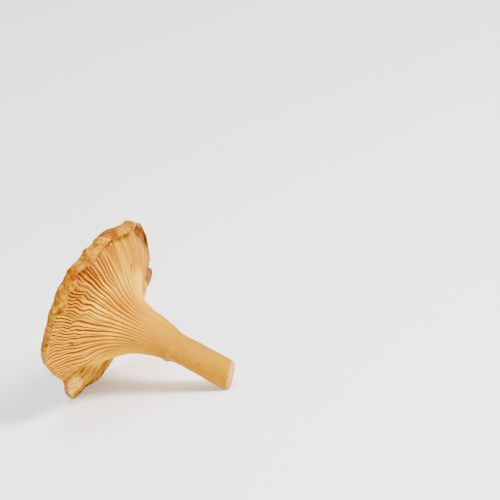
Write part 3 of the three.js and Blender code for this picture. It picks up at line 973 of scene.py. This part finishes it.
def skin_material():
    """Skin of the cap: egg-yellow and satin, darker orange-brown where it lies low between its lumps and in
    its creases.
    """
    material, tree, shader = new_material("chanterelle_skin")
    position = add(tree, "ShaderNodeTexCoord").outputs["Object"]
    lump, dent, worn = (
        add(tree, "ShaderNodeAttribute", attribute_name=name).outputs["Fac"]
        for name in ("lump", "dent", "worn")
    )
    specks, mottle, wobble = (
        add(
            tree,
            "ShaderNodeTexNoise",
            {"Vector": position, "Scale": pattern_scale(size), "Detail": detail, "Roughness": roughness},
        )
        for size, detail, roughness in (
            (SPECK_SIZE, 3.0, 0.5),
            (MOTTLE_SIZE, 5.0, 0.65),
            (SEAM_WOBBLE_SIZE, 2.0, 0.5),
        )
    )

    # Patches with wobbly seams, each a little lighter or darker, over a finer mottling. Where the
    # skin isn't worn, all of this is faint.
    wobble = {0: wobble.outputs["Color"], "Scale": SEAM_WOBBLE * MILLIMETRE}
    wobble = add(tree, "ShaderNodeVectorMath", wobble, operation="SCALE")
    wobbled = add(tree, "ShaderNodeVectorMath", {0: position, 1: wobble}, operation="ADD")
    patches = {"Vector": wobbled, "Scale": pattern_scale(SKIN_PATCH_SIZE)}
    seams = add(tree, "ShaderNodeTexVoronoi", patches, feature="DISTANCE_TO_EDGE")
    cells = add(tree, "ShaderNodeTexVoronoi", patches).outputs["Color"]
    cells = add(tree, "ShaderNodeSeparateColor", {"Color": cells}).outputs["Red"]
    lighter = {"Value": cells, "To Min": -SKIN_PATCH_CONTRAST, "To Max": SKIN_PATCH_CONTRAST}
    lighter = add(tree, "ShaderNodeMapRange", lighter)
    contrast = add(tree, "ShaderNodeMapRange", {"Value": worn, "To Min": UNWORN_CONTRAST})
    mottled = add(tree, "ShaderNodeMath", {0: mottle, 1: NOISE_MIDDLE}, operation="SUBTRACT")
    mottled = add(tree, "ShaderNodeMath", {0: mottled, 1: lighter}, operation="ADD")
    mottled = {0: mottled, 1: contrast, 2: NOISE_MIDDLE}
    mottled = add(tree, "ShaderNodeMath", mottled, operation="MULTIPLY_ADD")
    colour = add(tree, "ShaderNodeValToRGB", {"Fac": mottled})
    set_ramp(colour, SKIN_COLOURS)

    # Darkening between the lumps, creases and specks: each grows smoothly from nothing to its most between
    # two values
    between_lumps, creased, seamed, specked = (
        add(
            tree,
            "ShaderNodeMapRange",
            {"Value": value, "From Min": nothing, "From Max": full, "To Max": most},
            interpolation_type="SMOOTHSTEP",
        )
        for value, nothing, full, most in (
            (lump, 0.48, 0.32, 0.5),
            (dent, 0.46, 0.38, 0.6),
            (seams, 0.12, 0.03, 0.4),
            (specks, 0.44, 0.36, 0.45),
        )
    )
    creased = add(tree, "ShaderNodeMath", {0: creased, 1: seamed}, operation="MAXIMUM")
    for share, strength, code in (
        (between_lumps, contrast, LOW_SKIN_AND_SPECK_COLOUR),
        (creased, contrast, SKIN_CREASE_COLOUR),
        (specked, worn, LOW_SKIN_AND_SPECK_COLOUR),
    ):
        share = add(tree, "ShaderNodeMath", {0: share, 1: strength}, operation="MULTIPLY")
        layer = {SHARE: share, UNDER: colour, OVER: linear(code)}
        colour = add(tree, "ShaderNodeMix", layer, data_type="RGBA")
    colour = paint_marks(tree, colour, SKIN, SKIN_MARKS)
    set_finish(tree, shader, colour, roughness=0.45, glow=0.04)
    crumbs = add(tree, "ShaderNodeMath", {0: mottle, 1: specks}, operation="ADD")
    relief = {"Height": crumbs, "Strength": 0.9, "Distance": 0.6 * MILLIMETRE}
    bump = add(tree, "ShaderNodeBump", relief)
    tree.links.new(bump.outputs["Normal"], shader.inputs["Normal"])
    return material


def relief_tree(flesh, skin):
    """Geometry nodes that raise the gills and the small unevenness out of the smooth form."""
    tree = bpy.data.node_groups.new("chanterelle_relief", "GeometryNodeTree")
    tree.interface.new_socket("Form", in_out="INPUT", socket_type="NodeSocketGeometry")
    for name in RELIEF_SIZES:
        tree.interface.new_socket(name, in_out="INPUT", socket_type="NodeSocketFloat")
    tree.interface.new_socket("Mushroom", in_out="OUTPUT", socket_type="NodeSocketGeometry")
    entry = add(tree, "NodeGroupInput").outputs
    numbers = ("valley", "gill_height", "skin", "stem", "raised", "rim_fade", "crumple")
    kinds = dict.fromkeys(numbers, "FLOAT") | dict.fromkeys(("outward", "growth"), "FLOAT_VECTOR")
    stored = {
        name: add(tree, "GeometryNodeInputNamedAttribute", {"Name": name}, data_type=kind).outputs[0]
        for name, kind in kinds.items()
    }
    position = add(tree, "GeometryNodeInputPosition")

    # Noises of the relief: what they lie on, how much of that is one unit, their size, and detail
    growth_run = GROWTH_RUN * MILLIMETRE
    noises = {}
    for name, vector, unit, size, detail in (
        ("swells", stored["growth"], growth_run, "Swell Length", 1.0),
        ("lumps", position, 1.0, "Lump Size", 1.5),
        ("dents", position, 1.0, "Dent Size", 2.0),
        ("fibres", stored["growth"], growth_run, "Fibre Length", 2.0),
    ):
        scale = add(tree, "ShaderNodeMath", {0: unit, 1: entry[size]}, operation="DIVIDE")
        noise = {"Vector": vector, "W": entry["Seed"], "Scale": scale, "Detail": detail}
        noises[name] = add(tree, "ShaderNodeTexNoise", noise, noise_dimensions="4D")

    # Gills: crests stand out, valleys go in, and every gill is higher in some places than in others
    uneven = {"Value": noises["swells"], "From Min": 0.25, "From Max": 0.75, "To Min": 0.75, "To Max": 1.25}
    uneven = add(tree, "ShaderNodeMapRange", uneven)
    crest_share = entry["Crest Share"]
    rise = add(tree, "ShaderNodeMath", {0: crest_share, 1: stored["valley"]}, operation="SUBTRACT")
    rise = add(tree, "ShaderNodeMath", {0: rise, 1: stored["gill_height"]}, operation="MULTIPLY")
    rise = add(tree, "ShaderNodeMath", {0: rise, 1: uneven}, operation="MULTIPLY")

    # Lumps and dents of the skin, crumples and fibres: noise of its own height, kept to its own part
    whole_skin = {0: stored["skin"], 1: stored["rim_fade"]}
    whole_skin = add(tree, "ShaderNodeMath", whole_skin, operation="MULTIPLY")
    for noise, height, part in (
        ("lumps", "Lump Height", whole_skin),
        ("dents", "Dent Height", whole_skin),
        ("dents", "Crumple Height", stored["crumple"]),
        ("fibres", "Fibre Height", stored["stem"]),
    ):
        level = {0: noises[noise], 1: NOISE_MIDDLE}
        level = add(tree, "ShaderNodeMath", level, operation="SUBTRACT")
        level = add(tree, "ShaderNodeMath", {0: level, 1: entry[height]}, operation="MULTIPLY")
        rise = add(tree, "ShaderNodeMath", {0: level, 1: part, 2: rise}, operation="MULTIPLY_ADD")
    rise = add(tree, "ShaderNodeMath", {0: rise, 1: stored["raised"]}, operation="ADD")
    offset = add(tree, "ShaderNodeVectorMath", {0: stored["outward"], "Scale": rise}, operation="SCALE")
    marked = entry["Form"]
    for name, noise in (("lump", "lumps"), ("dent", "dents")):
        marked = add(
            tree,
            "GeometryNodeStoreNamedAttribute",
            {"Geometry": marked, "Name": name, "Value": noises[noise]},
            data_type="FLOAT",
            domain="POINT",
        )
    raised = add(tree, "GeometryNodeSetPosition", {"Geometry": marked, "Offset": offset})

    # What dips under the floor is flattened onto it
    place = add(tree, "ShaderNodeSeparateXYZ", {"Vector": add(tree, "GeometryNodeInputPosition")})
    height = add(tree, "ShaderNodeMath", {0: place.outputs["Z"], 1: 0.0}, operation="MAXIMUM")
    rested = {"X": place.outputs["X"], "Y": place.outputs["Y"], "Z": height}
    rested = add(tree, "ShaderNodeCombineXYZ", rested)
    flat = add(tree, "GeometryNodeSetPosition", {"Geometry": raised, "Position": rested})

    real = add(tree, "GeometryNodeRealizeInstances", {"Geometry": flat})
    fleshy = add(tree, "GeometryNodeSetMaterial", {"Geometry": real, "Material": flesh})
    is_skin = add(tree, "ShaderNodeMath", {0: stored["skin"], 1: 0.5}, operation="GREATER_THAN")
    skinned = {"Geometry": fleshy, "Selection": is_skin, "Material": skin}
    skinned = add(tree, "GeometryNodeSetMaterial", skinned)
    add(tree, "NodeGroupOutput", {"Mushroom": skinned})
    return tree


def set_input(modifier, name, value):
    """Sets a node tree's input by its identifier."""
    for item in modifier.node_group.interface.items_tree:
        if item.item_type == "SOCKET" and item.in_out == "INPUT" and item.name == name:
            modifier[item.identifier] = value


def store(mesh, name, values):
    """Keeps a number or a vector at every vertex of a mesh."""
    kind, field = ("FLOAT_VECTOR", "vector") if values.ndim == 2 else ("FLOAT", "value")
    layer = mesh.attributes.new(name, kind, "POINT")
    layer.data.foreach_set(field, np.ascontiguousarray(values, dtype=np.float32).ravel())


def hand_made_height(values):
    """Height of the warts and dents that are placed one by one, in millimetres."""
    total = np.zeros(len(values["place"]))
    for side, place, angle, width, height in BUMPS:
        centre = form(side, [place], np.array([math.radians(angle)]))[0]
        distance = np.linalg.norm(values["points"] - centre, axis=1)
        same_side = values["skin"] == float(side is SKIN)
        total += same_side * height * np.exp(-((distance / width) ** 2))
    return total


def area(values, parts):
    """How much each vertex is in an area, from 0 to 1: as much as in the nearest of its parts."""
    total = 0
    for centre, half, start, full, strength in parts:
        inside = near(values["angle"], centre, half) * smooth(start, full, values["reach"])
        total = np.maximum(total, strength * inside)
    return total


def looks_of(values):
    """What the relief and the materials read at each vertex."""
    angle = values["angle"]
    place = values["place"]
    fleshy = 1 - values["skin"]
    looks = {name: area(values, parts) for name, parts in AREAS.items()}
    looks["patch"] = looks["patch"] * fleshy
    looks["crumple"] = looks["crumple"] * fleshy * (1 - smooth(*CRUMPLE_ENDS, place))
    arc = (values["reach"] - values["points"][:, 2]) * fleshy
    across = (GROWTH_ROUND * np.cos(angle), GROWTH_ROUND * np.sin(angle))
    looks["growth"] = np.stack((*across, arc / GROWTH_RUN), -1)
    looks["valley"] = values["valley"]
    spread_up = np.max([share * looks[name] for name, share in VALLEY_COLOUR_AND_SHADE_SPREAD.items()], axis=0)
    looks["valley_seen"] = values["valley"] ** (1 - spread_up) * smooth(*VALLEYS_BEGIN, place)
    looks["gill_height"] = values["gill_height"] * MILLIMETRE
    looks["reach_share"] = values["reach"] / CAP_RADIUS
    looks["skin"] = values["skin"]
    looks["stem"] = (1 - smooth(*STEM_ENDS, place)) * fleshy
    cut_edge = smooth(*CUT_EDGE_BEGINS, place) * (1 - smooth(*CUT_EDGE_ENDS, place))
    looks["cut"] = CUT_EDGE_STRENGTH * cut_edge * fleshy
    looks["rim_fade"] = smooth(*SKIN_RELIEF_BEGINS, place)
    looks["worn"] = 1 - smooth(*WORN_SKIN_ENDS, place)
    looks["raised"] = hand_made_height(values) * MILLIMETRE
    return looks


def make_mushroom():
    """The finished piece: the smooth form with its relief raised, as one plain mesh."""
    values, faces = grow_form()
    turned = np.array(lying_matrix())
    placed = (values["points"] @ turned[:3, :3].T + turned[:3, 3]) * MILLIMETRE
    mesh = bpy.data.meshes.new("smooth_form")
    mesh.from_pydata(placed.tolist(), [], faces)
    mesh.update()
    mesh.polygons.foreach_set("use_smooth", [True] * len(mesh.polygons))
    store(mesh, "outward", values["outward"] @ turned[:3, :3].T)
    for name, look in looks_of(values).items():
        store(mesh, name, look)

    smooth_form = bpy.data.objects.new("smooth_form", mesh)
    bpy.context.collection.objects.link(smooth_form)
    modifier = smooth_form.modifiers.new("relief", "NODES")
    modifier.node_group = relief_tree(flesh_material(), skin_material())
    for name, value in RELIEF_SIZES.items():
        set_input(modifier, name, value)
    evaluated = smooth_form.evaluated_get(bpy.context.evaluated_depsgraph_get())
    grown = bpy.data.meshes.new_from_object(evaluated)
    grown.name = "chanterelle_whole"
    bpy.data.objects.remove(smooth_form)
    whole = bpy.data.objects.new("chanterelle_whole", grown)
    bpy.context.collection.objects.link(whole)
    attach(whole, "root")
    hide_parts("chanterelle")


make_mushroom()

# Camera: a long lens that looks down on the lying mushroom, rolled as the photograph is. Degrees and
# metres, and the sensor in millimetres.
CAMERA_ELEVATION = 19.1
CAMERA_ROLL = -13.7
CAMERA_DISTANCE = 1.4
FIELD_WIDTH = 0.163
SENSOR_WIDTH = 36.0
AIM_FROM_CAP = (0.04955, 0.01956)

elevation = math.radians(CAMERA_ELEVATION)
roll = math.radians(CAMERA_ROLL)
level = Vector((1, 0, 0))
upright = Vector((0, math.sin(elevation), math.cos(elevation)))
image_right = level * math.cos(roll) + upright * math.sin(roll)
image_up = upright * math.cos(roll) - level * math.sin(roll)
backward = image_right.cross(image_up)
aim = Vector(CAP_CENTRE) * MILLIMETRE + image_right * AIM_FROM_CAP[0] + image_up * AIM_FROM_CAP[1]
camera_data = bpy.data.cameras.new("camera")
camera_data.sensor_width = SENSOR_WIDTH
camera_data.lens = SENSOR_WIDTH * CAMERA_DISTANCE / FIELD_WIDTH
camera = bpy.data.objects.new("camera", camera_data)
bpy.context.collection.objects.link(camera)
turned = Matrix((image_right, image_up, backward)).transposed().to_4x4()
camera.matrix_world = Matrix.Translation(aim + backward * CAMERA_DISTANCE) @ turned
bpy.context.scene.camera = camera


# Lights: name, place, what they point at, width, watts, colour
LIGHTS = (
    ("key", (0.6, -0.42, 0.72), (0, 0, 0.03), 0.35, 28.0, "#fffaf4"),
    ("fill", (-0.6, -0.6, 0.3), (0, 0, 0.02), 0.6, 3.0, "#ffffff"),
    ("overhead", (0.1, 0.2, 1.1), (0, 0, 0), 0.9, 14.0, "#ffffff"),
)
STUDIO_STRENGTH = 0.4


def add_light(name, place, target, size, watts, colour):
    """A soft round light."""
    data = bpy.data.lights.new(name, "AREA")
    data.shape = "DISK"
    data.size = size
    data.energy = watts
    data.color = linear(colour)[:3]
    light = bpy.data.objects.new(name, data)
    light.location = place
    light.rotation_euler = (Vector(target) - Vector(place)).to_track_quat("-Z", "Y").to_euler()
    bpy.context.collection.objects.link(light)


for light_row in LIGHTS:
    add_light(*light_row)

world = bpy.data.worlds.new("studio")
world.use_nodes = True
studio = world.node_tree.nodes["Background"].inputs
studio["Color"].default_value = linear("#ffffff")
studio["Strength"].default_value = STUDIO_STRENGTH
bpy.context.scene.world = world

# Floor: matt white card, with a little light of its own that keeps the shadow soft
FLOOR_HALF = 6.0
CARD_COLOUR = "#fafaf8"
CARD_GLOW = 0.35

floor_mesh = bpy.data.meshes.new("floor")
corners = [(-FLOOR_HALF, -FLOOR_HALF, 0), (FLOOR_HALF, -FLOOR_HALF, 0)]
corners += [(FLOOR_HALF, FLOOR_HALF, 0), (-FLOOR_HALF, FLOOR_HALF, 0)]
floor_mesh.from_pydata(corners, [], [(0, 1, 2, 3)])
floor = bpy.data.objects.new("floor", floor_mesh)
bpy.context.collection.objects.link(floor)
card, _, card_shader = new_material("white_card")
card_shader.inputs["Base Color"].default_value = linear(CARD_COLOUR)
card_shader.inputs["Roughness"].default_value = 0.9
card_shader.inputs["Emission Color"].default_value = linear("#ffffff")
card_shader.inputs["Emission Strength"].default_value = CARD_GLOW
floor_mesh.materials.append(card)
